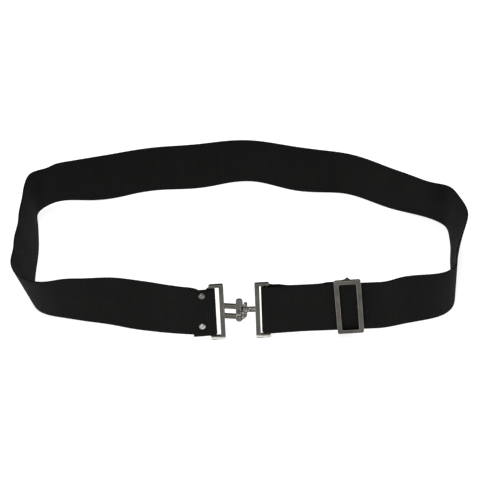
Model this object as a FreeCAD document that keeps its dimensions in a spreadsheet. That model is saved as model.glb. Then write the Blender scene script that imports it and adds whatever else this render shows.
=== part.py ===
import FreeCAD, Part
import math
import os
import re
import Sketcher

os.makedirs("parts", exist_ok=True)
V = FreeCAD.Vector
doc = FreeCAD.newDocument("DiveWeightBelt")

# The belt stands on its lower edge, closed and fastened, with the clasp at the front (-Y).
# The origin is under the middle of the loop, on the surface that it stands on.

# ---------------------------------------------------------------- driving dimensions, mm and degrees
SIZES = [
    ("web_width", 50.0, "width of the webbing"),
    ("web_thick", 1.8, "thickness of the webbing"),
    ("web_seat", 0.3, "how far the lower edge is flattened where it stands"),
    ("front_x", -2.0, "middle between the strap bars"),
    ("front_y", -121.0, "depth of the webbing there"),
    ("front_rise", 32.3, "height of the webbing's centre line there"),
    ("front_yaw", 3.4, "turn of the front stretch about Z"),
    ("front_lean", 5.5, "how far the front stretch leans back"),
    ("clasp_roll", 1.8, "both clasp halves lean to the left in their own plane"),
    ("bar_gap", 49.0, "distance between the two strap bars"),
    ("loop_bar_radius", 1.5, "strap bar of the loop half"),
    ("hook_bar_radius", 1.9, "strap bar of the hook half"),
    ("fold_gap", 0.35, "webbing to strap bar"),
    ("fold_drop", 1.2, "the folded ends sit this much lower than the front stretch"),
    ("frame_up", 27.8, "middle of a strap bar to the top of its frame"),
    ("frame_down", 30.6, "middle of a strap bar to the foot of its frame"),
    ("frame_drop", 1.0, "the clasp halves hang this much lower than the webbing"),
    ("frame_long", 13.0, "length of both clasp frames along the belt"),
    ("frame_thick", 3.0, "thickness of both clasp frames"),
    ("frame_rail", 2.6, "upper rails of the frames"),
    ("frame_foot", 3.4, "lower rails of the frames"),
    ("frame_post", 4.2, "plain upright of the frames"),
    ("frame_round", 1.6, "outer corners of the frames"),
    ("arm_root", 11.2, "strap bar to the start of the slot"),
    ("arm_end", 27.8, "strap bar to the crossbar"),
    ("arm_tall", 4.2, "height of one arm"),
    ("slot_tall", 6.4, "height of the slot between the arms"),
    ("arm_thick", 2.8, "thickness of the arms"),
    ("arm_rise", 10.0, "the arms slope out of the loop"),
    ("crossbar_long", 3.4, "crossbar along the belt"),
    ("crossbar_up", 9.8, "upper end of the crossbar over the centre line"),
    ("head_left", 20.5, "strap bar to the left side of the T-head"),
    ("head_long", 6.2, "T-head along the belt"),
    ("head_tall", 23.4, "T-head end to end"),
    ("head_up", 4.5, "middle of the T-head over the centre line"),
    ("head_thick", 2.6, "thickness of the T-head"),
    ("head_gap", 0.7, "T-head to the front of the arms"),
    ("riser_left", 20.9, "strap bar to the riser in the slot"),
    ("riser_long", 2.6, "riser along the belt"),
    ("neck_tall", 4.6, "height of the riser and the neck"),
    ("neck_thick", 2.4, "thickness of the neck"),
    ("neck_gap", 0.9, "neck to the back of the crossbar"),
    ("rivet_back", 8.9, "strap bar to the rivets"),
    ("rivet_pitch", 32.6, "distance between the rivets"),
    ("rivet_up", 1.4, "middle between the rivets over the centre line"),
    ("rivet_head_radius", 3.1, "rivet head"),
    ("rivet_head_high", 1.3, "height of the domed head"),
    ("rivet_cap_high", 1.0, "height of the flat cap"),
    ("rivet_shank_radius", 1.5, "rivet shank"),
    ("rivet_tube_radius", 0.9, "pin of the head inside the cap's tube"),
    ("tab_long", 17.6, "strap bar to the cut end of the folded tab"),
    ("slider_at", 72.5, "strap bar of the hook half to the slider's middle"),
    ("slider_lift", 0.5, "slider's middle over the centre line"),
    ("slider_roll", 5.8, "slider leans to the left in its own plane"),
    ("slider_long", 23.4, "length of the slider along the belt"),
    ("slider_tall", 57.0, "height of the slider"),
    ("slider_thick", 2.2, "thickness of the slider's front ring"),
    ("slider_side", 4.0, "side bars of the slider"),
    ("slider_rail", 3.7, "upper and lower rails of the slider"),
    ("slider_round", 2.0, "outer corners of the slider"),
    ("slider_up", 1.7, "middle of the front ring over the middle of the centre bar"),
    ("slider_post", 2.6, "width of the posts that hold the centre bar"),
    ("slider_post_in", 26.0, "centre line to the inner face of those posts"),
    ("slider_post_thick", 0.9, "thickness of those posts"),
    ("slider_gap", 1.56, "webbing to the slider's ring, in the ring's middle"),
    ("slider_tilt", 6.0, "the ring's right side stands out, turned about the centre bar"),
    ("slider_bar_radius", 1.1, "centre bar of the slider"),
    ("loop_tail", 17.0, "sewn end of the webbing, from the centre bar"),
    ("stitch_long", 2.6, "one stitch"),
    ("stitch_pitch", 3.4, "one stitch to the next"),
    ("stitch_radius", 0.35, "half the thickness of the thread"),
]

sheet = doc.addObject("Spreadsheet::Sheet", "Sizes")
size = {}
for row, (name, value, note) in enumerate(SIZES, start=1):
    sheet.set(f"A{row}", name)
    sheet.set(f"B{row}", str(value))
    sheet.set(f"C{row}", note)
    sheet.setAlias(f"B{row}", name)
doc.recompute()
for name, _, _ in SIZES:
    size[name] = float(sheet.get(name))

thick = size["web_thick"]
half_web = size["web_width"] / 2
half_gap = size["bar_gap"] / 2

# ---------------------------------------------------------------- placements
# Front frame: X along the belt, Y up the webbing, Z out of the loop; its origin is on the
# webbing's middle plane, halfway between the strap bars.
FRONT = FreeCAD.Placement(
    V(size["front_x"], size["front_y"], size["front_rise"]),
    FreeCAD.Rotation(V(0, 0, 1), size["front_yaw"])
    * FreeCAD.Rotation(V(1, 0, 0), 90 - size["front_lean"]),
)
ROLL = FreeCAD.Rotation(V(0, 0, 1), size["clasp_roll"])


def bar_depth(radius):
    """Depth of a strap bar's axis behind the webbing's middle plane."""
    return thick / 2 + size["fold_gap"] + radius


LOOP_DEPTH = bar_depth(size["loop_bar_radius"])
HOOK_DEPTH = bar_depth(size["hook_bar_radius"])
LOOP_AT = FRONT * FreeCAD.Placement(V(-half_gap, 0, -LOOP_DEPTH), ROLL)
HOOK_AT = FRONT * FreeCAD.Placement(V(half_gap, 0, -HOOK_DEPTH), ROLL)
DROP = FreeCAD.Placement(V(0, -size["frame_drop"], 0), FreeCAD.Rotation())
FOLD_DROP = FreeCAD.Placement(V(0, -size["fold_drop"], 0), FreeCAD.Rotation())
SLIDER_ROLL = FreeCAD.Rotation(V(0, 0, 1), size["slider_roll"])
SLIDER_AT = FRONT * FreeCAD.Placement(
    V(half_gap + size["slider_at"], size["slider_lift"], 0), SLIDER_ROLL
)


# ---------------------------------------------------------------- helpers
def plane(body, role):
    """One of a body's own origin planes."""
    return next(f for f in body.Origin.OriginFeatures if f.Role == role)


def new_body(label, placement):
    body = doc.addObject("PartDesign::Body", label)
    body.Label = label
    body.Placement = placement
    return body


def new_sketch(body, name, role="XY_Plane", offset="", turned=None):
    sketch = body.newObject("Sketcher::SketchObject", name)
    sketch.AttachmentSupport = [(plane(body, role), "")]
    sketch.MapMode = "FlatFace"
    if turned:
        sketch.AttachmentOffset = turned
    if offset:
        sketch.setExpression("AttachmentOffset.Base.z", bound(offset))
    return sketch


def outline(sketch, points):
    """Draw a closed outline; each point is a pair of expressions, bound to the sheet."""
    values = [(evaluate(px), evaluate(py)) for px, py in points]
    count = len(points)
    for index in range(count):
        start = V(*values[index], 0)
        end = V(*values[(index + 1) % count], 0)
        sketch.addGeometry(Part.LineSegment(start, end), False)
    for index in range(count):
        following = (index + 1) % count
        sketch.addConstraint(Sketcher.Constraint("Coincident", index, 2, following, 1))
    for index, (px, py) in enumerate(points):
        for kind, expression, value in (
            ("DistanceX", px, values[index][0]),
            ("DistanceY", py, values[index][1]),
        ):
            number = sketch.addConstraint(Sketcher.Constraint(kind, -1, 1, index, 1, value))
            if isinstance(expression, str):
                sketch.setExpression(f"Constraints[{number}]", bound(expression))


def bound(expression):
    """The expression with each size's name pointing at the sheet."""
    return re.sub(r"[a-z_]+", lambda m: f"Sizes.{m[0]}" if m[0] in size else m[0], expression)


def evaluate(expression):
    """The value that an expression of sizes, numbers, + - * / and brackets has now."""
    if not isinstance(expression, str):
        return float(expression)
    sheet.set("F1", "=" + bound(expression).replace("Sizes.", ""))
    doc.recompute([sheet])
    return float(sheet.get("F1"))


def pad(body, sketch, name, length, symmetric=False):
    feature = body.newObject("PartDesign::Pad", name)
    feature.Profile = sketch
    feature.setExpression("Length", bound(length))
    feature.Midplane = symmetric


def cut(body, sketch, name, length, symmetric=True, reverse=False):
    doc.recompute()
    before = body.Shape.Volume
    feature = body.newObject("PartDesign::Pocket", name)
    feature.Profile = sketch
    feature.setExpression("Length", bound(length))
    feature.Midplane = symmetric
    feature.Reversed = reverse
    doc.recompute()
    assert body.Shape.Volume < before - 0.01, f"{name} cuts nothing"


def box_points(left, right, low, high):
    return [(left, low), (right, low), (right, high), (left, high)]


def edges_where(shape, test):
    return [f"Edge{n}" for n, edge in enumerate(shape.Edges, start=1) if test(edge)]


def round_edges(body, name, radius, test):
    doc.recompute()
    base = body.Tip
    feature = body.newObject("PartDesign::Fillet", name)
    feature.Base = (base, edges_where(base.Shape, test))
    if isinstance(radius, str):
        feature.setExpression("Radius", bound(radius))
    else:
        feature.Radius = radius
    doc.recompute()


def along_z(edge, low_x, high_x, low_y, high_y, turned=FreeCAD.Placement()):
    """A straight edge along the turned Z that stands inside a window of X and |Y|."""
    if len(edge.Vertexes) != 2:
        return False
    start, end = [turned.inverse().multVec(vertex.Point) for vertex in edge.Vertexes]
    upright = abs(start.x - end.x) + abs(start.y - end.y) < 0.01
    return upright and low_x < start.x < high_x and low_y < abs(start.y) < high_y


def feature(label, shape):
    piece = doc.addObject("Part::Feature", label)
    piece.Label = label
    piece.Shape = shape


# ---------------------------------------------------------------- the two clasp frames
def strap_frame(body, side, bar_radius):
    """Rectangular frame round a strap bar at X = 0; side is where its plain upright is in X."""
    lip = 2.1
    near, far = -lip * side, (size["frame_long"] - lip) * side
    left, right = min(near, far), max(near, far)
    ring = new_sketch(body, f"{body.Name}_ring")
    outline(ring, box_points(left, right, "-frame_down", "frame_up"))
    pad(body, ring, f"{body.Name}_plate", "frame_thick", symmetric=True)
    window = new_sketch(body, f"{body.Name}_window")
    inner = far - size["frame_post"] * side
    low, high = sorted((near - side, inner))
    outline(window, box_points(low, high, "frame_foot - frame_down", "frame_up - frame_rail"))
    cut(body, window, f"{body.Name}_opening", "frame_thick * 2")
    bar = new_sketch(body, f"{body.Name}_bar_circle", "XZ_Plane",
                     offset="frame_down / 2 - frame_up / 2")
    bar.addGeometry(Part.Circle(V(0, 0, 0), V(0, 0, 1), bar_radius), False)
    bar.addConstraint(Sketcher.Constraint("Coincident", 0, 3, -1, 1))
    number = bar.addConstraint(Sketcher.Constraint("Radius", 0, bar_radius))
    which = "loop_bar_radius" if side > 0 else "hook_bar_radius"
    bar.setExpression(f"Constraints[{number}]", f"Sizes.{which}")
    pad(body, bar, f"{body.Name}_bar", "frame_up + frame_down - 2", symmetric=True)
    round_edges(body, f"{body.Name}_corners", "frame_round",
                lambda e: along_z(e, left - 1, right + 1, size["frame_up"] - 0.5, 31))


# The parts that meet lie along the belt, so they are turned back from the frames' lean.
LEVEL = FreeCAD.Placement(V(0, 0, 0), FreeCAD.Rotation(V(0, 0, 1), -size["clasp_roll"]))
arm_start = V(size["frame_long"] - 3.9, 0, 0)
SLOPED = (
    LEVEL
    * FreeCAD.Placement(arm_start, FreeCAD.Rotation(V(0, 1, 0), -size["arm_rise"]))
    * FreeCAD.Placement(-arm_start, FreeCAD.Rotation())
)

loop_half = new_body("loop_half", LOOP_AT * DROP)
strap_frame(loop_half, 1, size["loop_bar_radius"])
arms = new_sketch(loop_half, "arms_outline", turned=SLOPED)
outline(arms, [
    ("frame_long - 2.6", "-slot_tall / 2 - arm_tall"),
    ("arm_end + crossbar_long - 3.6", "-slot_tall / 2 - arm_tall"),
    ("arm_end + crossbar_long", "-slot_tall / 2 - arm_tall + 3.6"),
    ("arm_end + crossbar_long", "crossbar_up"),
    ("arm_end", "crossbar_up"),
    ("arm_end", "slot_tall / 2 + arm_tall"),
    ("frame_long - 2.6", "slot_tall / 2 + arm_tall"),
])
pad(loop_half, arms, "arms", "arm_thick", symmetric=True)
slot = new_sketch(loop_half, "slot_outline", turned=SLOPED)
outline(slot, box_points("arm_root", "arm_end", "-slot_tall / 2", "slot_tall / 2"))
cut(loop_half, slot, "slot", "arm_thick * 3")
crossbar_end = size["arm_end"] + size["crossbar_long"]
round_edges(loop_half, "crossbar_top", 1.6,
            lambda e: along_z(e, size["arm_end"] - 0.1, crossbar_end + 0.1, 9, 10, SLOPED))
round_edges(loop_half, "slot_corners", 0.8,
            lambda e: along_z(e, size["arm_root"] - 0.1, size["arm_end"] + 0.1, 3, 3.4, SLOPED))

hook_half = new_body("hook_half", HOOK_AT * DROP)
strap_frame(hook_half, -1, size["hook_bar_radius"])
# The neck leaves the frame's upright, passes behind the crossbar and turns up through the slot.
# Here X = 0 is the hook's own strap bar, so the loop half's lengths are taken from bar_gap.
drop = HOOK_DEPTH - LOOP_DEPTH
slope = math.radians(size["arm_rise"])


def arm_height(along, side):
    """Front (side 1) or back (side -1) of the sloping arms, in the hook half's heights."""
    half_thick = side * size["arm_thick"] / 2 / math.cos(slope)
    return drop + (along - arm_start.x) * math.tan(slope) + half_thick


head_back = arm_height(size["head_left"] + size["head_long"], 1) + size["head_gap"]
neck_front = arm_height(size["arm_end"], -1) - size["neck_gap"]
neck_back = neck_front - size["neck_thick"]
frame_left = -(size["frame_long"] - 2.1)
riser_x = size["riser_left"] - size["bar_gap"]
neck = new_sketch(hook_half, "neck_outline", "XZ_Plane",
                  turned=FreeCAD.Placement(V(0, 0, 0), FreeCAD.Rotation(
                      V(0, 1, 0), -size["clasp_roll"])))
outline(neck, [
    (riser_x, neck_back + 0.8),
    (riser_x + 0.8, neck_back),
    (frame_left + 1.5, neck_back),
    (frame_left + 1.5, neck_front),
    (riser_x + size["riser_long"], neck_front),
    (riser_x + size["riser_long"], head_back + 0.4),
    (riser_x, head_back + 0.4),
])
pad(hook_half, neck, "neck", "neck_tall", symmetric=True)
head = new_sketch(hook_half, "head_outline", offset=f"{head_back:.3f}", turned=LEVEL)
head_x = size["head_left"] - size["bar_gap"]
outline(head, box_points(head_x, "head_left - bar_gap + head_long",
                         "head_up - head_tall / 2", "head_up + head_tall / 2"))
pad(hook_half, head, "head", "head_thick")
round_edges(hook_half, "head_ends", 2.9,
            lambda e: along_z(e, head_x - 0.1, head_x + 7, 6, 17, LEVEL))
# Waist on the side towards the crossbar, between the head's two lobes.
waist = new_sketch(hook_half, "waist_outline", offset=f"{head_back - 1.5:.3f}", turned=LEVEL)
waist_x = head_x + size["head_long"]
outline(waist, [
    (waist_x + 1, 11.2),
    (waist_x - 1.5, 8.6),
    (waist_x - 1.5, 5.4),
    (waist_x + 1, 4.0),
])
cut(hook_half, waist, "waist", "head_thick * 2", symmetric=False, reverse=True)

# ---------------------------------------------------------------- the slider
bar_z = thick * 1.5 + 2 * size["fold_gap"] + size["slider_bar_radius"]
ring_turn = FreeCAD.Placement(
    V(0, 0, -bar_z), FreeCAD.Rotation(V(0, 1, 0), -size["slider_tilt"])
) * FreeCAD.Placement(V(0, 0, bar_z), FreeCAD.Rotation())
slider = new_body("slider_frame", SLIDER_AT * ring_turn)
ring = new_sketch(slider, "slider_ring", offset="web_thick / 2 + slider_gap")
outline(ring, box_points("-slider_long / 2", "slider_long / 2",
                         "slider_up - slider_tall / 2", "slider_up + slider_tall / 2"))
pad(slider, ring, "slider_plate", "slider_thick")
post_in = size["slider_post_in"]
back = -bar_z - size["slider_bar_radius"]
for name, sign in (("upper", 1), ("lower", -1)):
    post = new_sketch(slider, f"slider_{name}_post", "YZ_Plane")
    low, high = sorted((sign * post_in, sign * (post_in + size["slider_post_thick"])))
    outline(post, box_points(low, high, back, "web_thick / 2 + slider_gap + 0.7"))
    pad(slider, post, f"slider_{name}_post_pad", "slider_post", symmetric=True)
window = new_sketch(slider, "slider_window", offset="web_thick / 2 + slider_gap")
inside = size["slider_long"] / 2 - size["slider_side"]
outline(window, box_points(-inside, inside, "slider_up - slider_tall / 2 + slider_rail",
                           "slider_up + slider_tall / 2 - slider_rail"))
cut(slider, window, "slider_opening", "slider_thick", symmetric=False, reverse=True)
round_edges(slider, "slider_outer_corners", "slider_round",
            lambda e: along_z(e, 8, 13, 26.5, 31) or along_z(e, -13, -8, 26.5, 31))
round_edges(slider, "slider_window_corners", 1.6,
            lambda e: along_z(e, inside - 0.1, inside + 0.1, 22, 27)
            or along_z(e, -inside - 0.1, -inside + 0.1, 22, 27))

slider_bar = doc.addObject("Part::Cylinder", "slider_bar")
slider_bar.Label = "slider_bar"
slider_bar.setExpression("Radius", bound("slider_bar_radius"))
slider_bar.setExpression("Height", bound("slider_post_in * 2"))
slider_bar.Placement = SLIDER_AT * FreeCAD.Placement(
    V(0, post_in, -bar_z), FreeCAD.Rotation(V(1, 0, 0), 90)
)

# ---------------------------------------------------------------- rivets
def rivet_place(side):
    """On the folded webbing, a set distance from the strap bar; side is 1 above, -1 below."""
    height = size["rivet_up"] + side * size["rivet_pitch"] / 2
    return FRONT * FreeCAD.Placement(
        V(-half_gap - size["rivet_back"], height, 0), FreeCAD.Rotation())


for name, side in (("upper_rivet", 1), ("lower_rivet", -1)):
    body = new_body(name, rivet_place(side))
    profile = new_sketch(body, f"{name}_profile", "XZ_Plane")
    outline(profile, [
        (0, "0.2 - web_thick * 1.5"),
        ("rivet_tube_radius", "0.2 - web_thick * 1.5"),
        ("rivet_tube_radius", "web_thick / 2"),
        ("rivet_head_radius", "web_thick / 2"),
        ("rivet_head_radius", "web_thick / 2 + 0.4"),
        ("rivet_head_radius * 0.8", "web_thick / 2 + rivet_head_high * 0.78"),
        ("rivet_head_radius * 0.5", "web_thick / 2 + rivet_head_high * 0.95"),
        (0, "web_thick / 2 + rivet_head_high"),
    ])
    turn = body.newObject("PartDesign::Revolution", f"{name}_turned")
    turn.Profile = profile
    turn.ReferenceAxis = (profile, ["V_Axis"])
    turn.Angle = 360
    cap = new_body(f"{name}_cap", rivet_place(side))
    profile = new_sketch(cap, f"{name}_cap_profile", "XZ_Plane")
    outline(profile, [
        ("rivet_tube_radius", "web_thick / 2"),
        ("rivet_tube_radius", "-web_thick * 1.5"),
        (0, "-web_thick * 1.5"),
        (0, "-web_thick * 1.5 - rivet_cap_high"),
        ("rivet_head_radius - 0.6", "-web_thick * 1.5 - rivet_cap_high"),
        ("rivet_head_radius - 0.3", "-web_thick * 1.5 - rivet_cap_high / 2"),
        ("rivet_head_radius - 0.3", "-web_thick * 1.5"),
        ("rivet_shank_radius", "-web_thick * 1.5"),
        ("rivet_shank_radius", "web_thick / 2"),
    ])
    turn = cap.newObject("PartDesign::Revolution", f"{name}_cap_turned")
    turn.Profile = profile
    turn.ReferenceAxis = (profile, ["V_Axis"])
    turn.Angle = 360

doc.recompute()

# ---------------------------------------------------------------- the webbing
def fold_outline(radius, side, tail_low, tail_end, turn):
    """Webbing bent round a bar at the origin, seen along the bar; side +1 bends on the right.

    It starts on the front layer's plane, goes round the bar, leaves at the angle turn past the
    back and closes up with its own front layer, from there to tail_end.
    """
    inner = radius + size["fold_gap"]
    outer = inner + thick
    swing = math.radians(turn)

    def around(reach, angle):
        return V(side * reach * math.sin(angle), 0, reach * math.cos(angle))

    half_turn = math.pi / 2
    last = math.pi + swing
    run_outer = (tail_low - outer * math.cos(last)) / math.tan(swing)
    run_inner = (tail_low + thick - inner * math.cos(last)) / math.tan(swing)
    low_x = around(outer, last).x - side * run_outer
    high_x = around(inner, last).x - side * run_inner
    corners = [
        around(outer, last),
        V(low_x, 0, tail_low),
        V(-side * tail_end, 0, tail_low),
        V(-side * tail_end, 0, tail_low + thick),
        V(high_x, 0, tail_low + thick),
        around(inner, last),
    ]
    edges = [Part.Arc(around(outer, 0), around(outer, half_turn), corners[0]).toShape()]
    edges += [Part.makeLine(a, b) for a, b in zip(corners, corners[1:])]
    edges.append(Part.Arc(corners[-1], around(inner, half_turn), around(inner, 0)).toShape())
    edges.append(Part.makeLine(around(inner, 0), around(outer, 0)))
    return Part.Face(Part.Wire(edges))


def slab(points, low, high):
    """A plate with the given outline in X and Y, between two heights."""
    wire = Part.makePolygon([V(x, y, low) for x, y in points + points[:1]])
    return Part.Face(wire).extrude(V(0, 0, high - low))


def along_bar(face):
    """The face pushed along the bar, longer than the webbing is wide."""
    long = size["web_width"] + 12
    return face.translated(V(0, -long / 2, 0)).extrude(V(0, long, 0))


roll_slope = math.tan(math.radians(size["clasp_roll"]))
LEFT_END = -45.0
RIGHT_END = 122.0

# Left end: folded round the loop half's bar, its tab riveted behind, askew with the bar.
tail = LOOP_DEPTH - 1.5 * thick
left_fold = along_bar(fold_outline(size["loop_bar_radius"], 1, tail, size["tab_long"], 50))
reach = size["tab_long"] + 2
sink = reach * roll_slope
left_fold = left_fold.common(slab(
    [(6, half_web), (0, half_web), (-reach, half_web - sink),
     (-reach, -half_web - sink), (0, -half_web), (6, -half_web)], -9, 9))
left_fold.Placement = LOOP_AT * FOLD_DROP
end_low = -half_web - size["fold_drop"]
end_high = half_web - size["fold_drop"]
left_layer = slab(
    [(LEFT_END, -half_web), (-half_gap - end_low * roll_slope, end_low),
     (-half_gap - end_high * roll_slope, end_high), (LEFT_END, half_web)],
    -thick / 2, thick / 2)
left_layer.Placement = FRONT

# Right end: folded round the hook half's bar; the returning layer goes on from there.
inner = size["hook_bar_radius"] + size["fold_gap"]
outer = inner + thick
RETURN_START = 1.0
bend = Part.Face(Part.Wire([
    Part.makeLine(V(0, 0, inner), V(0, 0, outer)),
    Part.Arc(V(0, 0, outer), V(-outer, 0, 0), V(0, 0, -outer)).toShape(),
    Part.makeLine(V(0, 0, -outer), V(RETURN_START, 0, -outer)),
    Part.makeLine(V(RETURN_START, 0, -outer), V(RETURN_START, 0, -inner)),
    Part.makeLine(V(RETURN_START, 0, -inner), V(0, 0, -inner)),
    Part.Arc(V(0, 0, -inner), V(-inner, 0, 0), V(0, 0, inner)).toShape(),
]))
right_fold = along_bar(bend).common(slab(
    [(-9, -half_web), (9, -half_web), (9, half_web), (-9, half_web)], -9, 9))
right_fold.Placement = HOOK_AT * FOLD_DROP
level_at = half_gap + 30
right_layer = slab(
    [(half_gap - end_low * roll_slope, end_low), (level_at, -half_web),
     (RIGHT_END, -half_web), (RIGHT_END, half_web), (level_at, half_web),
     (half_gap - end_high * roll_slope, end_high)], -thick / 2, thick / 2)
right_layer.Placement = FRONT

# The loop itself, from the left end clockwise (seen from above) to the right end.  Each
# station: X and Y of the lower edge, how far it is off the floor, how far the top leans in.
STATIONS = [
    (-72, -120, 6, 9.5), (-96, -113.3, 4, 12), (-119, -105.3, 2.4, 8.5), (-142, -98.5, 0.6, 0.5),
    (-160, -93.8, 0, -5.5), (-174, -90.2, 0, -13), (-185.5, -84, 0, -16.5),
    (-192.5, -72, 0.4, -18.5), (-194.5, -54.5, 1, -17), (-195.5, -36.5, 1.8, -17),
    (-196, -17.5, 2.4, -15.5), (-197, 2, 2, -16), (-200, 26, 1.6, -12.5), (-204, 50, 1.2, -8),
    (-205, 62.5, 1.6, -2), (-198, 74, 2.2, 6.5), (-187, 82, 2.4, 6), (-172, 85.5, 1.8, 3),
    (-153, 86, 1.2, -4), (-129, 91, 0.6, -8), (-107, 100, 0, -6.5), (-83, 105.5, 0, -6.5),
    (-59, 107, 0, -8.5), (-35, 111, 0, -8.5), (-12, 118.5, 0, -4.5), (12, 120.5, 0, -2),
    (35, 112.5, 0, -5), (57, 103.5, 0.5, -7.5), (81, 101, 0.3, -4), (106, 99, 0, 0.5),
    (127, 88.5, 0, 1), (147, 75.5, 0, 2), (169.5, 64.8, 0.6, 6.5), (190.5, 54.2, 0.8, 8.5),
    (202, 43, 0.3, 2), (204, 26.5, 0, -5), (203, 9, 0, -12), (199.8, -14.5, 0, -11),
    (198.5, -39.5, 0.3, -3), (196.8, -63.5, 1, 2.5), (193, -80, 1.6, 2), (183, -92, 2.6, 2),
    (168, -100.1, 4.2, 4.5), (145, -107.5, 5.2, 8.5),
]

ends = {}
for name, along in (("first", LEFT_END), ("last", RIGHT_END)):
    ends[name] = [
        FRONT.multVec(V(along, y, z))
        for y in (-half_web, half_web)
        for z in (thick / 2, -thick / 2)
    ]
heading = FRONT.Rotation.multVec(V(-1, 0, 0))
up_axis = V(0, 0, 1)
middles = [V(x, y, 0) for x, y, _, _ in STATIONS]
path = [FRONT.multVec(V(LEFT_END, -half_web, 0))] + middles
path.append(FRONT.multVec(V(RIGHT_END, -half_web, 0)))
rows = [ends["first"]]
for index, (x, y, lift, lean) in enumerate(STATIONS, start=1):
    forward = path[index + 1] - path[index - 1]
    forward.z = 0
    forward.normalize()
    inward = forward.cross(up_axis)
    tilt = math.radians(lean)
    up = up_axis * math.cos(tilt) + inward * math.sin(tilt)
    out = up_axis * math.sin(tilt) - inward * math.cos(tilt)
    foot = V(x, y, lift - size["web_seat"])
    rows.append([
        foot + up * rise + out * side
        for rise in (0, size["web_width"])
        for side in (thick / 2, -thick / 2)
    ])
rows.append(ends["last"])

lengths = [0.0]
for before, after in zip(path, path[1:]):
    lengths.append(lengths[-1] + (after - before).Length)


def long_curve(corner):
    """Smooth curve through one corner of every station."""
    curve = Part.BSplineCurve()
    curve.interpolate(Points=[row[corner] for row in rows], Parameters=lengths,
                      InitialTangent=heading, FinalTangent=heading, Scale=False)
    return curve


# The four long edges are cut into spans of a few stations each, with a ruled face between
# neighbouring edges, and closed by a flat face at either end.
SPAN = 4
low_out, low_in, high_out, high_in = [long_curve(corner) for corner in range(4)]
joints = lengths[::SPAN]
joints[-1] = lengths[-1]
faces = []
for begin, end in zip(joints, joints[1:]):
    edges = [curve.toShape(begin, end) for curve in (low_out, high_out, high_in, low_in)]
    faces += [Part.makeRuledSurface(edges[k], edges[(k + 1) % 4]) for k in range(4)]
for row in (rows[0], rows[-1]):
    faces.append(Part.Face(Part.makePolygon([row[0], row[2], row[3], row[1], row[0]])))
shell = Part.makeShell(faces)
shell.sewShape()
loop_solid = Part.makeSolid(shell)
webbing = loop_solid.fuse([left_layer, left_fold, right_layer, right_fold])
floor_block = Part.makeBox(600, 600, 20, V(-300, -300, -20))
webbing = webbing.cut(floor_block)
for side in (1, -1):
    hole = Part.makeCylinder(size["rivet_shank_radius"], 20, V(0, 0, -10))
    hole.Placement = rivet_place(side)
    webbing = webbing.cut(hole)
assert len(webbing.Solids) == 1
feature("belt_webbing", webbing.Solids[0])

# ---------------------------------------------------------------- the returning layer
# The webbing's free end, sewn round the slider's centre bar, on the inside of the belt.
askew = math.tan(math.radians(size["slider_roll"]))
loop_inner = size["slider_bar_radius"] + size["fold_gap"]
loop_outer = loop_inner + thick
LOOP_TURN = math.radians(40)


def teardrop(radius, stack, tail):
    """Outline round the centre bar that closes to a flat stack on the left."""
    touch = V(-radius * math.sin(LOOP_TURN), 0, radius * math.cos(LOOP_TURN))
    meet = touch.x - (touch.z - stack) / math.tan(LOOP_TURN)
    upper = [V(meet, 0, stack), touch]
    if tail > 0:
        upper.insert(0, V(-tail, 0, stack))
    lower = [V(point.x, 0, -point.z) for point in reversed(upper)]
    edges = [Part.makeLine(a, b) for a, b in zip(upper, upper[1:])]
    edges.append(Part.Arc(touch, V(radius, 0, 0), lower[0]).toShape())
    edges += [Part.makeLine(a, b) for a, b in zip(lower, lower[1:])]
    if (lower[-1] - upper[0]).Length > 0.001:
        edges.append(Part.makeLine(lower[-1], upper[0]))
    return Part.Face(Part.Wire(edges))


reach = size["loop_tail"] + 2
end_loop = along_bar(teardrop(loop_outer, thick, size["loop_tail"]))
end_loop = end_loop.cut(along_bar(teardrop(loop_inner, 0, 0)))
end_loop = end_loop.common(slab(
    [(6, half_web), (0, half_web), (-reach, half_web + reach * askew),
     (-reach, -half_web + reach * askew), (0, -half_web), (6, -half_web)], -9, 9))
end_loop.Placement = SLIDER_AT * FreeCAD.Placement(V(0, 0, -bar_z), FreeCAD.Rotation())
feature("sewn_end_loop", end_loop.Solids[0])

# Two short rows of stitches hold the end; they lie on the inside of the belt.
stitch = size["stitch_long"]
pitch = size["stitch_pitch"]
stitches = []
for column in (-7.5, -14.5):
    for index in range(-6, 7):
        middle = index * pitch - column * askew
        piece = Part.makeCylinder(size["stitch_radius"], stitch, V(column, middle - stitch / 2, 0),
                                  V(0, 1, 0))
        flat = Part.makeBox(4, 60, 4, V(column - 2, middle - 30, 0))
        stitches.append(piece.cut(flat))
thread = Part.makeCompound(stitches)
thread.Placement = SLIDER_AT * FreeCAD.Placement(
    V(0, 0, -bar_z - thick - 0.02), FreeCAD.Rotation())
feature("sewn_loop_thread", thread)

# The layer between the hook half's bar and the sewn end: it grows as the slider moves away.
# It lies against the front layer halfway and stands off from it at both bars.
touch = -thick - 0.25
start = [V(RETURN_START, y, z) for y, z in ((-half_web, -outer), (half_web, -outer),
                                            (half_web, -inner), (-half_web, -inner))]
tail_rise = size["loop_tail"] * askew
finish = [V(-size["loop_tail"], y + tail_rise, z - bar_z)
          for y, z in ((-half_web, -thick), (half_web, -thick), (half_web, 0), (-half_web, 0))]
sections = [[(HOOK_AT * FOLD_DROP).multVec(point) for point in start]]
for along, depth in ((34, -5.3), (42, touch - 0.5), (48, touch), (56, touch), (64, touch - 0.9),
                     (72, -4.4)):
    climb = (along - half_gap) / size["slider_at"] * size["slider_lift"]
    sections.append([
        FRONT.multVec(V(along, y + climb, depth + z))
        for y, z in ((-half_web, -thick / 2), (half_web, -thick / 2),
                     (half_web, thick / 2), (-half_web, thick / 2))
    ])
sections.append([SLIDER_AT.multVec(point) for point in finish])
wires = [Part.makePolygon(row + row[:1]) for row in sections]
feature("return_layer", Part.makeLoft(wires, True, True))

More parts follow.
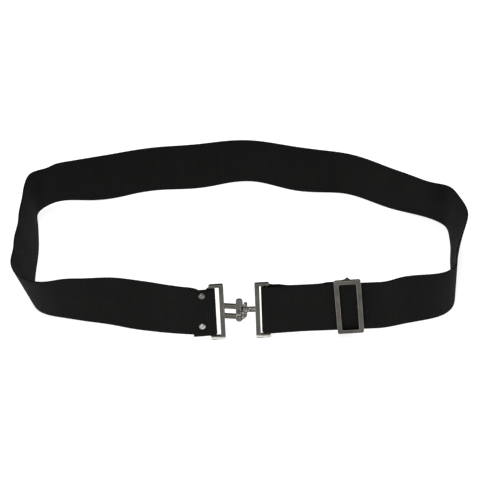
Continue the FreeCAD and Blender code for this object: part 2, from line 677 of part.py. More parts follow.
# ---------------------------------------------------------------- checks and files
sheet.clear("F1")
doc.recompute()
NODES = ["belt_webbing", "return_layer", "sewn_end_loop", "sewn_loop_thread", "loop_half",
         "hook_half", "slider_frame", "slider_bar", "upper_rivet", "upper_rivet_cap",
         "lower_rivet", "lower_rivet_cap"]
for item in doc.Objects:
    assert not {"Invalid", "Error"} & set(item.State), f"{item.Label} has failed"
for name in NODES:
    shape = doc.getObjectsByLabel(name)[0].Shape
    assert not shape.isNull() and shape.isValid(), f"{name} has no valid shape"
    assert shape.Volume > 0, f"{name} has no volume"
    shape.exportStep(f"parts/{name}.step")
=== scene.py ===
import math

import bpy
import bmesh
import numpy as np
from mathutils import Matrix, Vector


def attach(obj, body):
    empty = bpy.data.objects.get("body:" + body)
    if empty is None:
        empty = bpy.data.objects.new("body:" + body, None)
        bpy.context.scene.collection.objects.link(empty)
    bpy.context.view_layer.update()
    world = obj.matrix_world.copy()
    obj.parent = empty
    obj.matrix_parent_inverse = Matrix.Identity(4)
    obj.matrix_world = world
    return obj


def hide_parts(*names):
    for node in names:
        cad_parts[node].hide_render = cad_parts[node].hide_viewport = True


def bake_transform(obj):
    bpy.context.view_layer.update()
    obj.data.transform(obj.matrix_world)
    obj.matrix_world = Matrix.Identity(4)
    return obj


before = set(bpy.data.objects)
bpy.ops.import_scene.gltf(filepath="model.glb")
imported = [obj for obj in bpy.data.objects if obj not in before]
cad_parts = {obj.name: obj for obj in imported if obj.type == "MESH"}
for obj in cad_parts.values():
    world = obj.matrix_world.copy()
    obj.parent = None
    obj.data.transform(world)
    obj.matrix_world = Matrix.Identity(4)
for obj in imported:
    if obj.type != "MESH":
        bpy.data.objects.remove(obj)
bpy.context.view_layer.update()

MM = 0.001

# ------------------------------------------------------------------ the belt's measures, in mm
WEB_WIDTH = 50.0
WEB_THICK = 1.8
HALF = WEB_WIDTH / 2
SEAT = 0.3                          # the lower edge is pressed this far into the floor
BAR_GAP = 49.0                      # from the loop half's strap bar to the hook half's
LOOP_BAR = 1.5                      # radii of the three bars
HOOK_BAR = 1.9
SLIDER_BAR = 1.1
SLIDER_AT = 72.5                    # from the hook half's bar to the slider's centre bar
SLIDER_LIFT = 0.5
CLASP_ROLL = math.radians(1.8)      # how far clasp and slider lean in the belt's own plane
SLIDER_ROLL = math.radians(5.8)

FOLD_GAP = 0.35                     # between a bar and the strap folded round it
FOLD_DROP = 1.2                     # how far the folds hang below the middle of their bars
FOLD_EASE = 30.0                    # the strap climbs back from that drop over this length
LOOP_WRAP = math.radians(50)        # how far past half a turn the tab's fold goes round its bar
END_WRAP = math.radians(40)         # the same for the sewn end, on both sides
HOOK_BULGE = 1.5                    # slack of the hook half's fold
LEFT_END = -45.0                    # where the flat front stretches end, left and right
RIGHT_END = 122.0

TAB_LONG = 17.6                     # riveted tab behind the strap, and how it sags to its end
TAB_SAG = 1.7
TAB_SAG_FROM = 1.5
TAB_SAG_OVER = 16.0
PINCH_AT = -35.0                    # dip in the upper edge beside the upper rivet
PINCH_WIDE = 2.6
PINCH_DEEP = 1.5
FOLD_TUCK = 0.8                     # the upper edge is tucked in by this much at the fold

SEWN_LONG = 17.0                    # sewn end: both its layers run this far behind the bar
SEWN_SAG = 2.0
SEWN_SAG_FROM = 3.0
SEWN_SAG_OVER = 9.0
# The returning layer's middle: along the front, depth behind it, drop.
BEHIND = -WEB_THICK - 0.25          # where it touches the front strap
RETURN_STATIONS = [
    (34, -5.3, 1.7), (42, BEHIND - 0.5, 1.3), (48, BEHIND, 1.0), (56, BEHIND, 1.0),
    (64, BEHIND - 0.9, 1.5), (72, -4.4, 2.1),
]

RIVET_BACK = 8.9                    # from the loop half's bar to the two rivets
RIVET_PITCH = 32.6
RIVET_UP = 1.4
DIMPLE_WIDE = 6.5
DIMPLE_DEEP = 0.55

RIB = 1.6                           # pitch and depth of the webbing's ribs
RIB_DEEP = 0.16
EDGE_TOOTH = 0.2                    # the ribs stand this far out of the edges
YARN = 0.62                         # width of a yarn across the strap
UV_SPAN = 100.0                     # length of strap on one unit of its UV map

# The loop's lower edge: x, y, lift off the floor, and lean of the strap into the loop in degrees.
STATIONS = [
    (-72, -120, 6, 9.5), (-96, -113.3, 4, 12), (-119, -105.3, 2.4, 8.5), (-142, -98.5, 0.6, 0.5),
    (-160, -93.8, 0, -5.5), (-174, -90.2, 0, -13), (-185.5, -84, 0, -16.5),
    (-192.5, -72, 0.4, -18.5), (-194.5, -54.5, 1, -17), (-195.5, -36.5, 1.8, -17),
    (-196, -17.5, 2.4, -15.5), (-197, 2, 2, -16), (-200, 26, 1.6, -12.5), (-204, 50, 1.2, -8),
    (-205, 62.5, 1.6, -2), (-198, 74, 2.2, 6.5), (-187, 82, 2.4, 6), (-172, 85.5, 1.8, 3),
    (-153, 86, 1.2, -4), (-129, 91, 0.6, -8), (-107, 100, 0, -6.5), (-83, 105.5, 0, -6.5),
    (-59, 107, 0, -8.5), (-35, 111, 0, -8.5), (-12, 118.5, 0, -4.5), (12, 120.5, 0, -2),
    (35, 112.5, 0, -5), (57, 103.5, 0.5, -7.5), (81, 101, 0.3, -4), (106, 99, 0, 0.5),
    (127, 88.5, 0, 1), (147, 75.5, 0, 2), (169.5, 64.8, 0.6, 6.5), (190.5, 54.2, 0.8, 8.5),
    (202, 43, 0.3, 2), (204, 26.5, 0, -5), (203, 9, 0, -12), (199.8, -14.5, 0, -11),
    (198.5, -39.5, 0.3, -3), (196.8, -63.5, 1, 2.5), (193, -80, 1.6, 2), (183, -92, 2.6, 2),
    (168, -100.1, 4.2, 4.5), (145, -107.5, 5.2, 8.5),
]


def turn(angle, axis):
    return Matrix.Rotation(angle, 4, axis)


def shift(x, y, z):
    return Matrix.Translation((x, y, z))


# Front frame: X along the belt, Y up the webbing, Z out of the loop.
FRONT_X = -2.0
FRONT_Y = -121.0
FRONT_RISE = 32.3
FRONT_HEADING = math.radians(3.4)
FRONT_LEAN = math.radians(5.5)      # the top of the webbing leans back by this
FRONT = (shift(FRONT_X, FRONT_Y, FRONT_RISE) @ turn(FRONT_HEADING, "Z")
         @ turn(math.pi / 2 - FRONT_LEAN, "X"))
LOOP_DEPTH = WEB_THICK / 2 + FOLD_GAP + LOOP_BAR
HOOK_DEPTH = WEB_THICK / 2 + FOLD_GAP + HOOK_BAR
LOOP_PLACE = FRONT @ shift(-BAR_GAP / 2, 0, -LOOP_DEPTH) @ turn(CLASP_ROLL, "Z")
HOOK_PLACE = FRONT @ shift(BAR_GAP / 2, 0, -HOOK_DEPTH) @ turn(CLASP_ROLL, "Z")
SLIDER_PLACE = FRONT @ shift(BAR_GAP / 2 + SLIDER_AT, SLIDER_LIFT, 0) @ turn(SLIDER_ROLL, "Z")
BAR_Z = WEB_THICK * 1.5 + 2 * FOLD_GAP + SLIDER_BAR      # slider's bar behind the strap's middle


# ------------------------------------------------------------------ the strap's course
def clamped_spline(knots, points, first, last):
    """Smooth cubic through the points with the given directions at both ends."""
    knots = np.asarray(knots, float)
    points = np.asarray(points, float)
    gap = np.diff(knots)
    count = len(knots)
    matrix = np.zeros((count, count))
    right = np.zeros_like(points)
    matrix[0, 0] = matrix[-1, -1] = 1
    right[0], right[-1] = first, last
    slope = np.diff(points, axis=0) / gap[:, None]
    for k in range(1, count - 1):
        matrix[k, k - 1] = gap[k]
        matrix[k, k] = 2 * (gap[k - 1] + gap[k])
        matrix[k, k + 1] = gap[k - 1]
        right[k] = 3 * (gap[k] * slope[k - 1] + gap[k - 1] * slope[k])
    speed = np.linalg.solve(matrix, right)

    def at(value):
        k = min(max(np.searchsorted(knots, value) - 1, 0), count - 2)
        s = (value - knots[k]) / gap[k]
        a, b = points[k], points[k + 1]
        u, v = speed[k] * gap[k], speed[k + 1] * gap[k]
        return (a * (1 + 2 * s) * (1 - s) ** 2 + b * s * s * (3 - 2 * s)
                + u * s * (1 - s) ** 2 - v * s * s * (1 - s))

    return at


def pair(place, low, high):
    """Lower and upper edge points of the strap, from one piece's own axes."""
    return np.array(place @ Vector(low)), np.array(place @ Vector(high))


def loop_course():
    """The lower and upper edge from the left end round the loop to the right end."""
    heading = np.array(FRONT.to_3x3() @ Vector((-1, 0, 0)))
    path = [np.array(FRONT @ Vector((LEFT_END, -HALF, 0)))]
    path += [np.array((x, y, 0.0)) for x, y, _, _ in STATIONS]
    path.append(np.array(FRONT @ Vector((RIGHT_END, -HALF, 0))))
    up = np.array((0, 0, 1.0))
    lows = [path[0]]
    highs = [np.array(FRONT @ Vector((LEFT_END, HALF, 0)))]
    for k, (x, y, lift, lean) in enumerate(STATIONS, start=1):
        ahead = path[k + 1] - path[k - 1]
        ahead[2] = 0
        ahead /= np.linalg.norm(ahead)
        inward = np.cross(ahead, up)
        tilt = math.radians(lean)
        rise = up * math.cos(tilt) + inward * math.sin(tilt)
        lows.append(np.array((x, y, lift - SEAT)))
        highs.append(lows[-1] + rise * WEB_WIDTH)
    lows.append(path[-1])
    highs.append(np.array(FRONT @ Vector((RIGHT_END, HALF, 0))))
    knots = [0.0]
    for a, b in zip(path, path[1:]):
        knots.append(knots[-1] + float(np.linalg.norm(b - a)))
    low_at = clamped_spline(knots, lows, heading, heading)
    high_at = clamped_spline(knots, highs, heading, heading)
    values = np.linspace(0, knots[-1], int(knots[-1]))
    return [(low_at(v), high_at(v)) for v in values]


def main_course():
    """Tab, fold round the left bar, the loop, fold round the right bar."""
    course = []
    mid = LOOP_BAR + FOLD_GAP + WEB_THICK / 2
    last = math.pi + LOOP_WRAP
    tail = LOOP_DEPTH - WEB_THICK
    slope = math.tan(CLASP_ROLL)
    run = (tail - mid * math.cos(last)) / math.tan(LOOP_WRAP)
    touch_x = mid * math.sin(last)
    meet_x = touch_x - run

    def add_left(x, z):
        share = min(max(-x - TAB_SAG_FROM, 0) / TAB_SAG_OVER, 1)
        sink = FOLD_DROP + max(-x, 0) * slope + TAB_SAG * share ** 0.45
        course.append(pair(LOOP_PLACE, (x, -HALF - sink, z), (x, HALF - sink, z)))

    for x in np.arange(-TAB_LONG, meet_x, 0.5):
        add_left(x, tail)
    for s in np.linspace(0, 1, 8)[1:-1]:
        add_left(meet_x + (touch_x - meet_x) * s, tail + (mid * math.cos(last) - tail) * s)
    for angle in np.linspace(last, 0, 30):
        add_left(mid * math.sin(angle), mid * math.cos(angle))
    inset = HALF * slope
    for s in np.linspace(0, 1, 24)[1:-1]:
        low_x = (-BAR_GAP / 2 + inset) * (1 - s) + LEFT_END * s
        high_x = (-BAR_GAP / 2 - inset) * (1 - s) + LEFT_END * s
        pinch = PINCH_DEEP * math.exp(-((high_x - PINCH_AT) / PINCH_WIDE) ** 2)
        pinch += FOLD_TUCK * (1 - s)
        drop = FOLD_DROP * (1 - s)
        course.append(pair(FRONT, (low_x, -HALF - drop, 0), (high_x, HALF - drop - pinch, 0)))
    course += loop_course()
    for s in np.linspace(0, 1, 90)[1:-1]:
        low_x = RIGHT_END * (1 - s) + (BAR_GAP / 2 + inset) * s
        high_x = RIGHT_END * (1 - s) + (BAR_GAP / 2 - inset) * s
        drop = FOLD_DROP * max(0, 1 - (high_x - BAR_GAP / 2) / FOLD_EASE)
        course.append(pair(FRONT, (low_x, -HALF - drop, 0), (high_x, HALF - drop, 0)))
    mid = HOOK_BAR + FOLD_GAP + WEB_THICK / 2
    for angle in np.linspace(0, math.pi, 30):
        x = -(mid + HOOK_BULGE * math.sin(angle)) * math.sin(angle)
        z = mid * math.cos(angle)
        course.append(pair(HOOK_PLACE, (x, -HALF - FOLD_DROP, z), (x, HALF - FOLD_DROP, z)))
    course.append(pair(HOOK_PLACE, (1.0, -HALF - FOLD_DROP, -mid), (1.0, HALF - FOLD_DROP, -mid)))
    return course


def return_course():
    """From the right bar back to the slider, round its centre bar and back on itself."""
    course = []
    mid = HOOK_BAR + FOLD_GAP + WEB_THICK / 2
    for x in (1.0, 3.0, 5.0):
        z = -mid + 0.02 * (x - 1) ** 2
        drop = FOLD_DROP + 0.3 * (x - 1)
        course.append(pair(HOOK_PLACE, (x, -HALF - drop, z), (x, HALF - drop, z)))
    for along, depth, drop in RETURN_STATIONS:
        course.append(pair(FRONT, (along, -HALF - drop, depth), (along, HALF - drop, depth)))
    askew = math.tan(SLIDER_ROLL)
    mid = SLIDER_BAR + FOLD_GAP + WEB_THICK / 2
    half = WEB_THICK / 2
    touch_x = -mid * math.sin(END_WRAP)
    meet_x = touch_x - (mid * math.cos(END_WRAP) - half) / math.tan(END_WRAP)

    def add_end(x, z):
        rise = max(-x, 0) * askew
        rise -= SEWN_SAG * min(max(-x - SEWN_SAG_FROM, 0) / SEWN_SAG_OVER, 1)
        z -= BAR_Z
        course.append(pair(SLIDER_PLACE, (x, -HALF + rise, z), (x, HALF + rise, z)))

    sewn = (-SEWN_LONG, -12.0, -8.0, meet_x)
    for x in sewn:
        add_end(x, -half)
    for angle in np.linspace(math.pi + END_WRAP, -END_WRAP, 30):
        add_end(mid * math.sin(angle), mid * math.cos(angle))
    for x in reversed(sewn):
        add_end(x, half)
    return course


def resample(course, step):
    """The same course at even steps along its middle line."""
    lows = np.array([low for low, _ in course])
    highs = np.array([high for _, high in course])
    middle = (lows + highs) / 2
    run = np.concatenate([[0], np.cumsum(np.linalg.norm(np.diff(middle, axis=0), axis=1))])
    keep = np.concatenate([[True], np.diff(run) > 1e-6])
    lows, highs, run = lows[keep], highs[keep], run[keep]
    values = np.arange(0, run[-1], step)
    low = np.stack([np.interp(values, run, lows[:, k]) for k in range(3)], axis=1)
    high = np.stack([np.interp(values, run, highs[:, k]) for k in range(3)], axis=1)
    return values, low, high


# ------------------------------------------------------------------ the strap's mesh
def add_piece(name, data):
    """A new object in the scene, of a mesh, light or camera."""
    piece = bpy.data.objects.new(name, data)
    bpy.context.scene.collection.objects.link(piece)
    return piece


def turn_faces_out(mesh, merge=None):
    """Points every face outwards, after joining points closer than merge metres."""
    work = bmesh.new()
    work.from_mesh(mesh)
    if merge:
        bmesh.ops.remove_doubles(work, verts=work.verts, dist=merge)
    bmesh.ops.recalc_face_normals(work, faces=work.faces)
    work.to_mesh(mesh)
    work.free()


def smooth_rows(rows, times):
    for _ in range(times):
        rows[1:-1] = (rows[:-2] + 2 * rows[1:-1] + rows[2:]) / 4
    return rows


def ease(distance, reach):
    """1 at no distance, falling smoothly to 0 at reach."""
    return np.where(distance < reach, np.cos(np.pi / 2 * distance / reach) ** 2, 0)


def strap_section():
    """One round of the section: across from 0 to 1, side +1 or -1, share of thickness."""
    stops = [0.0, 0.006, 0.018, 0.04, 0.2, 0.4, 0.6, 0.8, 0.96, 0.982, 0.994, 1.0]
    bulge = [0.25, 0.68, 0.92, 1.0, 1.0, 1.0, 1.0, 1.0, 1.0, 0.92, 0.68, 0.25]
    front = [(s, 1, share) for s, share in zip(stops, bulge)]
    return front + [(s, -1, share) for s, _, share in reversed(front)]


def ribbed_points(values, low, high, section):
    """The section carried along the edges low and high, thicker and wider on each rib."""
    across = high - low
    across /= np.linalg.norm(across, axis=1)[:, None]
    ahead = np.gradient((low + high) / 2, axis=0)
    ahead /= np.linalg.norm(ahead, axis=1)[:, None]
    normal = np.cross(ahead, across)
    normal /= np.linalg.norm(normal, axis=1)[:, None]
    base = WEB_THICK / 2 - RIB_DEEP
    rib = RIB_DEEP * np.abs(np.cos(np.pi * values / RIB)) ** 0.8
    tooth = EDGE_TOOTH * np.cos(2 * np.pi * values / RIB)
    points = np.zeros((len(values), len(section), 3))
    for j, (s, side, share) in enumerate(section):
        depth = side * share * (base + rib)
        points[:, j] = low + (high - low) * s + normal * depth[:, None]
        if s == 0.0:
            points[:, j] -= across * tooth[:, None]
        elif s == 1.0:
            points[:, j] += across * tooth[:, None]
    return points


def press_in(points, place, reach, deep):
    """A dimple in the front of the strap round one place."""
    out = np.array(FRONT.to_3x3() @ Vector((0, 0, 1)))
    away = points - np.array(place)
    front = (away @ out) > -WEB_THICK / 2 - 0.2
    distance = np.linalg.norm(away, axis=2)
    points -= (front * ease(distance, reach) * deep)[:, :, None] * out


def map_strap(mesh, values, section):
    """UVs that run along the strap and across it, at the strap's own scale."""
    layer = mesh.uv_layers.new(name="strap")
    uv = np.zeros((len(mesh.loops), 2))
    index = np.zeros(len(mesh.loops), dtype=int)
    mesh.loops.foreach_get("vertex_index", index)
    row, column = index // len(section), index % len(section)
    uv[:, 0] = values[row] / UV_SPAN
    uv[:, 1] = np.array([s for s, _, _ in section])[column] * WEB_WIDTH / UV_SPAN
    layer.data.foreach_set("uv", uv.ravel())


def strap(name, course, rise=(), dimples=()):
    """Ribbed webbing along a course, closed at both ends, with rounded edges and UVs.

    rise lifts both edges near a point of the course; dimples press the front in round a rivet.
    """
    values, low, high = resample(course, RIB / 4)
    low, high = smooth_rows(low, 6), smooth_rows(high, 6)
    for place, reach, low_up, high_up in rise:
        near = ease(np.linalg.norm((low + high) / 2 - np.array(place), axis=1), reach)
        low[:, 2] += near * low_up
        high[:, 2] += near * high_up
    section = strap_section()
    points = ribbed_points(values, low, high, section)
    for place, reach, deep in dimples:
        press_in(points, place, reach, deep)
    count, ring = len(values), len(section)
    faces = []
    for i in range(count - 1):
        for j in range(ring):
            k = (j + 1) % ring
            faces.append((i * ring + j, i * ring + k, (i + 1) * ring + k, (i + 1) * ring + j))
    faces.append(tuple(reversed(range(ring))))
    faces.append(tuple((count - 1) * ring + j for j in range(ring)))
    mesh = bpy.data.meshes.new(name)
    mesh.from_pydata([tuple(p) for p in (points * MM).reshape(-1, 3)], [], faces)
    map_strap(mesh, values, section)
    mesh.update()
    turn_faces_out(mesh)
    mesh.shade_smooth()
    return add_piece(name, mesh)


# ------------------------------------------------------------------ materials
def new_material(name):
    material = bpy.data.materials.new(name)
    material.use_nodes = True
    tree = material.node_tree
    return material, tree, tree.nodes["Principled BSDF"]


def node(tree, kind, **settings):
    made = tree.nodes.new(kind)
    for key, value in settings.items():
        setattr(made, key, value)
    return made


def grey(level):
    return (level,) * 3


def ramp(tree, source, stops):
    """Colours in between the given (place, colour) stops."""
    made = node(tree, "ShaderNodeValToRGB")
    tree.links.new(source, made.inputs["Fac"])
    elements = made.color_ramp.elements
    while len(elements) < len(stops):
        elements.new(0.5)
    for element, (place, colour) in zip(elements, stops):
        element.position = place
        element.color = (*colour, 1)
    return made.outputs["Color"]


def calc(tree, operation, first, second=None):
    """One arithmetic step on numbers or sockets."""
    made = node(tree, "ShaderNodeMath", operation=operation)
    for socket, value in zip(made.inputs, (first, second)):
        if isinstance(value, (int, float)):
            socket.default_value = value
        elif value is not None:
            tree.links.new(value, socket)
    return made.outputs[0]


def ripple(tree, length, pitch, phase=0.0):
    """Absolute cosine: 1 on every crest, 0 in the valleys between, pitch apart."""
    turns = calc(tree, "MULTIPLY", length, math.pi / pitch)
    turns = calc(tree, "ADD", turns, phase)
    return calc(tree, "ABSOLUTE", calc(tree, "COSINE", turns))


def noise(tree, vector, scale, detail=3.0):
    made = node(tree, "ShaderNodeTexNoise")
    made.inputs["Scale"].default_value = scale
    made.inputs["Detail"].default_value = detail
    tree.links.new(vector, made.inputs["Vector"])
    return made.outputs["Fac"]


def bump(tree, shader, height, strength, distance):
    made = node(tree, "ShaderNodeBump")
    made.inputs["Strength"].default_value = strength
    made.inputs["Distance"].default_value = distance
    tree.links.new(height, made.inputs["Height"])
    tree.links.new(made.outputs["Normal"], shader.inputs["Normal"])


def blend_colour(tree, kind, share, first, second):
    """Mixes two colours; the mixing node's inputs 0, 6 and 7 are its share and its colours."""
    made = node(tree, "ShaderNodeMix", data_type="RGBA", blend_type=kind)
    for socket, value in ((made.inputs[0], share), (made.inputs[6], first),
                          (made.inputs[7], second)):
        if isinstance(value, float):
            socket.default_value = value
        elif isinstance(value, tuple):
            socket.default_value = (*value, 1)
        else:
            tree.links.new(value, socket)
    return made.outputs[2]


def webbing_material():
    """Black ribbed nylon: weft ribs across the strap, fine warp yarns over them along it."""
    material, tree, shader = new_material("black_ribbed_webbing")
    shader.inputs["Specular IOR Level"].default_value = 0.08
    shader.inputs["Sheen Weight"].default_value = 0.012
    shader.inputs["Sheen Roughness"].default_value = 0.6
    uv = node(tree, "ShaderNodeUVMap", uv_map="strap").outputs["UV"]
    parts = node(tree, "ShaderNodeSeparateXYZ")
    tree.links.new(uv, parts.inputs[0])
    along = calc(tree, "MULTIPLY", parts.outputs[0], UV_SPAN)
    across = calc(tree, "MULTIPLY", parts.outputs[1], UV_SPAN)
    rib = ripple(tree, along, RIB)
    rib_number = calc(tree, "ROUND", calc(tree, "DIVIDE", along, RIB))
    yarn = ripple(tree, across, YARN, calc(tree, "MULTIPLY", rib_number, math.pi / 2))
    relief = calc(tree, "MULTIPLY", rib, calc(tree, "ADD", calc(tree, "MULTIPLY", yarn, 0.5), 0.5))
    fuzz = noise(tree, uv, 520.0, 4.0)
    patches = noise(tree, uv, 7.0, 5.0)
    height = calc(tree, "ADD", relief, calc(tree, "MULTIPLY", fuzz, 0.35))
    # Colour follows the relief: darkest in the rib valleys and lightest on the crests, a painted
    # shade and highlight of the weave, with random fuzz in the tone.
    colour = ramp(tree, height, [(0.25, (0.0016, 0.0016, 0.0015)),
                                 (0.75, (0.0052, 0.0051, 0.0048)),
                                 (1.0, (0.0085, 0.0084, 0.0079))])
    tint = ramp(tree, patches, [(0.32, grey(0.8)), (0.68, (1.0, 1.0, 0.98))])
    colour = blend_colour(tree, "MULTIPLY", 1.0, colour, tint)
    lint = ramp(tree, noise(tree, uv, 95.0, 2.0), [(0.74, grey(0)), (0.80, grey(0.3))])
    colour = blend_colour(tree, "MIX", lint, colour, (0.022, 0.022, 0.021))
    tree.links.new(colour, shader.inputs["Base Color"])
    rough = ramp(tree, fuzz, [(0.3, grey(0.74)), (0.7, grey(0.94))])
    tree.links.new(rough, shader.inputs["Roughness"])
    bump(tree, shader, height, 0.7, 0.22 * MM)
    return material


def thread_material():
    """Black polyester sewing thread with a slight gloss on its twist."""
    material, tree, shader = new_material("black_thread")
    shader.inputs["Specular IOR Level"].default_value = 0.35
    where = node(tree, "ShaderNodeTexCoord").outputs["Object"]
    fibres = noise(tree, where, 2600.0, 3.0)
    colour = ramp(tree, fibres, [(0.3, grey(0.006)), (0.7, (0.02, 0.02, 0.019))])
    tree.links.new(colour, shader.inputs["Base Color"])
    rough = ramp(tree, fibres, [(0.3, grey(0.4)), (0.7, grey(0.6))])
    tree.links.new(rough, shader.inputs["Roughness"])
    return material


# Colour of the painted dark reflections in the clasp's mottled middle.
PAINTED_DARK_REFLECTION = (0.03, 0.028, 0.032)


def metal_material(name, colour, painted_reflection_colour, rough_low, rough_high, painted_mottle_point=None):
    """Cast and plated metal: dull in the hollows, scuffed, painted floor reflection at the feet.

    Round the given point the base colour is mottled with painted highlights and dark reflections.
    """
    material, tree, shader = new_material(name)
    shader.inputs["Metallic"].default_value = 1.0
    where = node(tree, "ShaderNodeTexCoord").outputs["Object"]
    cast = noise(tree, where, 420.0, 6.0)
    wear_and_reflection_noise = noise(tree, where, 75.0, 4.0)
    dull = tuple(c * 0.62 for c in colour)
    shade = ramp(tree, wear_and_reflection_noise, [(0.32, dull), (0.66, colour)])
    speck = ramp(tree, noise(tree, where, 900.0, 2.0), [(0.66, grey(0)), (0.74, grey(0.6))])
    shade = blend_colour(tree, "MIX", speck, shade, tuple(min(c * 1.9, 1.0) for c in colour))
    # Painted reflection of the white floor: a pale band round the feet, with a ragged outline. The
    # stops are heights in cm.
    parts = node(tree, "ShaderNodeSeparateXYZ")
    tree.links.new(where, parts.inputs[0])
    ragged = calc(tree, "ADD", parts.outputs[2], calc(tree, "MULTIPLY", wear_and_reflection_noise, 3 * MM))
    floor_reflection_band = ramp(tree, calc(tree, "MULTIPLY", ragged, 100.0),
                  [(0.25, grey(0)), (0.31, grey(0.75)), (0.42, grey(0.75)), (0.52, grey(0))])
    shade = blend_colour(tree, "MIX", floor_reflection_band, shade, painted_reflection_colour)
    if painted_mottle_point:
        # Painted highlights and painted dark reflections mottle the colour here; they fade out
        # between 5 and 11 mm from the point.
        away = node(tree, "ShaderNodeVectorMath", operation="DISTANCE")
        tree.links.new(where, away.inputs[0])
        away.inputs[1].default_value = painted_mottle_point
        near = ramp(tree, calc(tree, "MULTIPLY", away.outputs["Value"], 50.0),
                    [(0.25, grey(1.0)), (0.55, grey(0))])
        blotches = noise(tree, where, 520.0, 3.0)
        light = ramp(tree, blotches, [(0.54, grey(0)), (0.64, grey(0.6))])
        dark = ramp(tree, blotches, [(0.40, grey(0.85)), (0.47, grey(0))])
        shade = blend_colour(tree, "MIX", calc(tree, "MULTIPLY", near, light), shade, painted_reflection_colour)
        shade = blend_colour(tree, "MIX", calc(tree, "MULTIPLY", near, dark), shade, PAINTED_DARK_REFLECTION)
    # Edges lightened, partly as worn plating and partly as a painted highlight: the rounded normal
    # leaves the true one only beside an edge.
    soft = node(tree, "ShaderNodeBevel")
    soft.samples = 6
    soft.inputs["Radius"].default_value = 0.8 * MM
    sharp = node(tree, "ShaderNodeNewGeometry")
    dot = node(tree, "ShaderNodeVectorMath", operation="DOT_PRODUCT")
    tree.links.new(soft.outputs["Normal"], dot.inputs[0])
    tree.links.new(sharp.outputs["Normal"], dot.inputs[1])
    edge = calc(tree, "MULTIPLY", calc(tree, "SUBTRACT", 1.0, dot.outputs["Value"]),
                calc(tree, "ADD", wear_and_reflection_noise, 0.4))
    rim = ramp(tree, edge, [(0.01, grey(0)), (0.07, grey(0.75))])
    shade = blend_colour(tree, "MIX", rim, shade, tuple(min(c * 3.0, 0.9) for c in colour))
    tree.links.new(shade, shader.inputs["Base Color"])
    scratch_map = node(tree, "ShaderNodeMapping")
    scratch_map.inputs["Scale"].default_value = (2200.0, 2200.0, 260.0)
    scratch_map.inputs["Rotation"].default_value = (0.2, 0.35, 0.1)
    tree.links.new(where, scratch_map.inputs["Vector"])
    scratches = noise(tree, scratch_map.outputs["Vector"], 1.0, 3.0)
    rough = ramp(tree, scratches, [(0.3, grey(rough_low)), (0.7, grey(rough_high))])
    tree.links.new(rough, shader.inputs["Roughness"])
    height = calc(tree, "ADD", cast, calc(tree, "MULTIPLY", scratches, 0.3))
    bump(tree, shader, height, 0.3, 0.18 * MM)
    return material


# ------------------------------------------------------------------ building the pieces
def dress(node_name, material):
    """Gives a piece of the frame its material."""
    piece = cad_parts[node_name]
    piece.data.materials.clear()
    piece.data.materials.append(material)
    return piece


webbing = webbing_material()
contact = FRONT @ Vector((5, 1, 3))            # where the hook's head sits on the crossbar
clasp_metal = metal_material("dark_nickel", (0.1, 0.094, 0.083), (0.85, 0.84, 0.8), 0.2, 0.34,
                             painted_mottle_point=tuple(contact * MM))
rivet_metal = metal_material("bright_nickel", (0.44, 0.43, 0.385), (0.6, 0.59, 0.55), 0.24, 0.36)
# A darker copy of the rivet nickel, used for the upper rivet head.
darker_rivet_metal = metal_material("darker_nickel", (0.17, 0.168, 0.15), (0.5, 0.5, 0.46), 0.22, 0.34)

RIVETS = [FRONT @ shift(-BAR_GAP / 2 - RIVET_BACK, RIVET_UP + side * RIVET_PITCH / 2,
                        WEB_THICK / 2) for side in (1, -1)]
# The strap arches up a little where it leaves the flat stretch by the rivets.
ARCH = (FRONT @ Vector((-51, 0, 0)), 26, 1.9, 2.6)
main_strap = strap(
    "webbing_main", main_course(), rise=[ARCH],
    dimples=[(place.translation, DIMPLE_WIDE, DIMPLE_DEEP) for place in RIVETS])
main_strap.data.materials.append(webbing)
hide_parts("belt_webbing")
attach(main_strap, "belt")

return_strap = strap("webbing_return", return_course())
return_strap.data.materials.append(webbing)
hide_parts("return_layer", "sewn_end_loop")
# It stretches between the hook half's fold and the sewn end.
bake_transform(return_strap)

for name, round_off in (("loop_half", 0.5), ("hook_half", 0.5), ("slider_frame", 0.95),
                        ("slider_bar", 0.3)):
    piece = dress(name, clasp_metal)
    weld = piece.modifiers.new("joined_faces", "WELD")
    weld.merge_threshold = 0.001 * MM
    bevel = piece.modifiers.new("soft_edges", "BEVEL")
    bevel.width = round_off * MM
    bevel.segments = 4
    bevel.limit_method = "ANGLE"
    bevel.angle_limit = math.radians(35)
    bevel.harden_normals = True
for name in ("upper_rivet_cap", "lower_rivet_cap"):
    dress(name, rivet_metal)


def rivet_head(name, place, node_name, material):
    """Domed head with a rolled rim and a dimpled middle, sunk a little into the webbing."""
    profile = [(0.0, 0.62), (0.5, 0.66), (0.85, 0.86), (1.1, 1.1), (1.4, 1.24), (1.8, 1.2),
               (2.3, 0.98), (2.7, 0.66), (2.98, 0.3), (3.1, 0.0), (3.05, -0.3), (2.8, -0.5),
               (1.4, -0.52), (0.9, -0.6), (0.9, -2.4), (0.0, -2.4)]
    count = 48
    points, faces = [], []
    for reach, height in profile:
        for k in range(count):
            angle = 2 * math.pi * k / count
            spot = place @ Vector((reach * math.cos(angle), reach * math.sin(angle), height))
            points.append(tuple(spot * MM))
    for row in range(len(profile) - 1):
        for k in range(count):
            a, b = row * count + k, row * count + (k + 1) % count
            faces.append((a, a + count, b + count, b))
    mesh = bpy.data.meshes.new(name)
    mesh.from_pydata(points, [], faces)
    turn_faces_out(mesh, merge=1e-7)
    mesh.shade_smooth()
    mesh.materials.append(material)
    piece = add_piece(name, mesh)
    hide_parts(node_name)
    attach(piece, "belt")


# The upper head gets the darker copy of the nickel, the lower one the lighter.
rivet_head("upper_rivet_head", RIVETS[0], "upper_rivet", darker_rivet_metal)
rivet_head("lower_rivet_head", RIVETS[1], "lower_rivet", rivet_metal)


STITCH_COLUMNS = (-7.5, -14.5)      # both rows, measured from the slider's bar
STITCHES_EACH_WAY = 6
STITCH_PITCH = 3.4
STITCH_LONG = 3.0
STITCH_ARCH = 0.42
STITCH_SUNK = 0.12
THREAD = 0.3


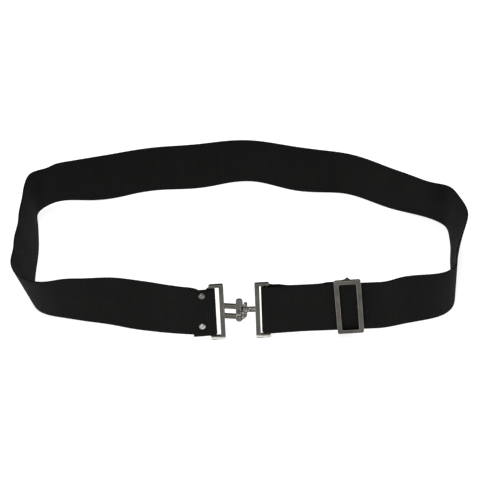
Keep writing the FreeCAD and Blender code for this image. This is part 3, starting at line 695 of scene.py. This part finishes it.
def stitches():
    """Two rows of arched two-ply stitches on the sewn end, seen from inside the belt."""
    mesh = bpy.data.meshes.new("loop_stitches")
    points, faces = [], []
    askew = math.tan(SLIDER_ROLL)
    steps = sides = 12
    for column in STITCH_COLUMNS:
        for index in range(-STITCHES_EACH_WAY, STITCHES_EACH_WAY + 1):
            middle = index * STITCH_PITCH - column * askew
            first = len(points)
            for k in range(steps + 1):
                s = k / steps
                along = middle + (s - 0.5) * STITCH_LONG
                lift = STITCH_ARCH * math.sin(math.pi * s) ** 0.5 - STITCH_SUNK
                for side in range(sides):
                    angle = 2 * math.pi * side / sides
                    reach = THREAD * (1 + 0.22 * math.cos(2 * angle - 9.0 * s))
                    place = (column + reach * math.cos(angle), along,
                             -BAR_Z - WEB_THICK - lift - reach * 0.8 * math.sin(angle))
                    points.append(tuple((SLIDER_PLACE @ Vector(place)) * MM))
            for k in range(steps):
                for side in range(sides):
                    a, b = first + k * sides + side, first + k * sides + (side + 1) % sides
                    faces.append((a, b, b + sides, a + sides))
            last = first + steps * sides
            faces.append(tuple(reversed(range(first, first + sides))))
            faces.append(tuple(range(last, last + sides)))
    mesh.from_pydata(points, [], faces)
    turn_faces_out(mesh)
    mesh.shade_smooth()
    return add_piece("loop_stitches", mesh)


thread = stitches()
thread.data.materials.append(thread_material())
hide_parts("sewn_loop_thread")
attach(thread, "slider")

# ------------------------------------------------------------------ floor, light and camera
floor_mesh = bpy.data.meshes.new("floor")
floor_mesh.from_pydata([(-6, -6, 0), (6, -6, 0), (6, 6, 0), (-6, 6, 0)], [], [(0, 1, 2, 3)])
floor = add_piece("floor", floor_mesh)
floor_material, _, floor_shader = new_material("white_floor")
floor_shader.inputs["Base Color"].default_value = (0.9, 0.9, 0.9, 1)
floor_shader.inputs["Roughness"].default_value = 0.9
floor_shader.inputs["Specular IOR Level"].default_value = 0.1
floor_shader.inputs["Emission Color"].default_value = (1, 1, 1, 1)
floor_shader.inputs["Emission Strength"].default_value = 0.62
floor_mesh.materials.append(floor_material)

world = bpy.data.worlds.new("studio")
world.use_nodes = True
world.node_tree.nodes["Background"].inputs["Color"].default_value = (1, 1, 1, 1)
world.node_tree.nodes["Background"].inputs["Strength"].default_value = 0.35
bpy.context.scene.world = world


def aim(thing, target):
    """Turns a light or camera towards the target."""
    way = Vector(target) - thing.location
    thing.rotation_euler = way.to_track_quat("-Z", "Y").to_euler()


def area_light(name, place, size, power):
    """Rectangular light that faces the belt."""
    data = bpy.data.lights.new(name, "AREA")
    data.shape = "RECTANGLE"
    data.size, data.size_y = size
    data.energy = power
    light = add_piece(name, data)
    light.location = place
    aim(light, (0, 0, 0))


area_light("overhead", (0.0, 0.1, 1.6), (2.2, 1.8), 14)
area_light("left_front", (-0.6, -1.75, 1.0), (1.0, 1.0), 14)

CAMERA_RISE = math.radians(38)
CAMERA_AWAY = 1.3
CAMERA_TARGET = Vector((-0.002, 0.0215, 0.0))
camera_data = bpy.data.cameras.new("camera")
camera_data.lens = 99.5
camera_data.sensor_width = 36
camera = add_piece("camera", camera_data)
view_way = Vector((0, -math.cos(CAMERA_RISE), math.sin(CAMERA_RISE)))
camera.location = CAMERA_TARGET + CAMERA_AWAY * view_way
aim(camera, CAMERA_TARGET)
bpy.context.scene.camera = camera
bpy.context.scene.view_settings.view_transform = "Standard"
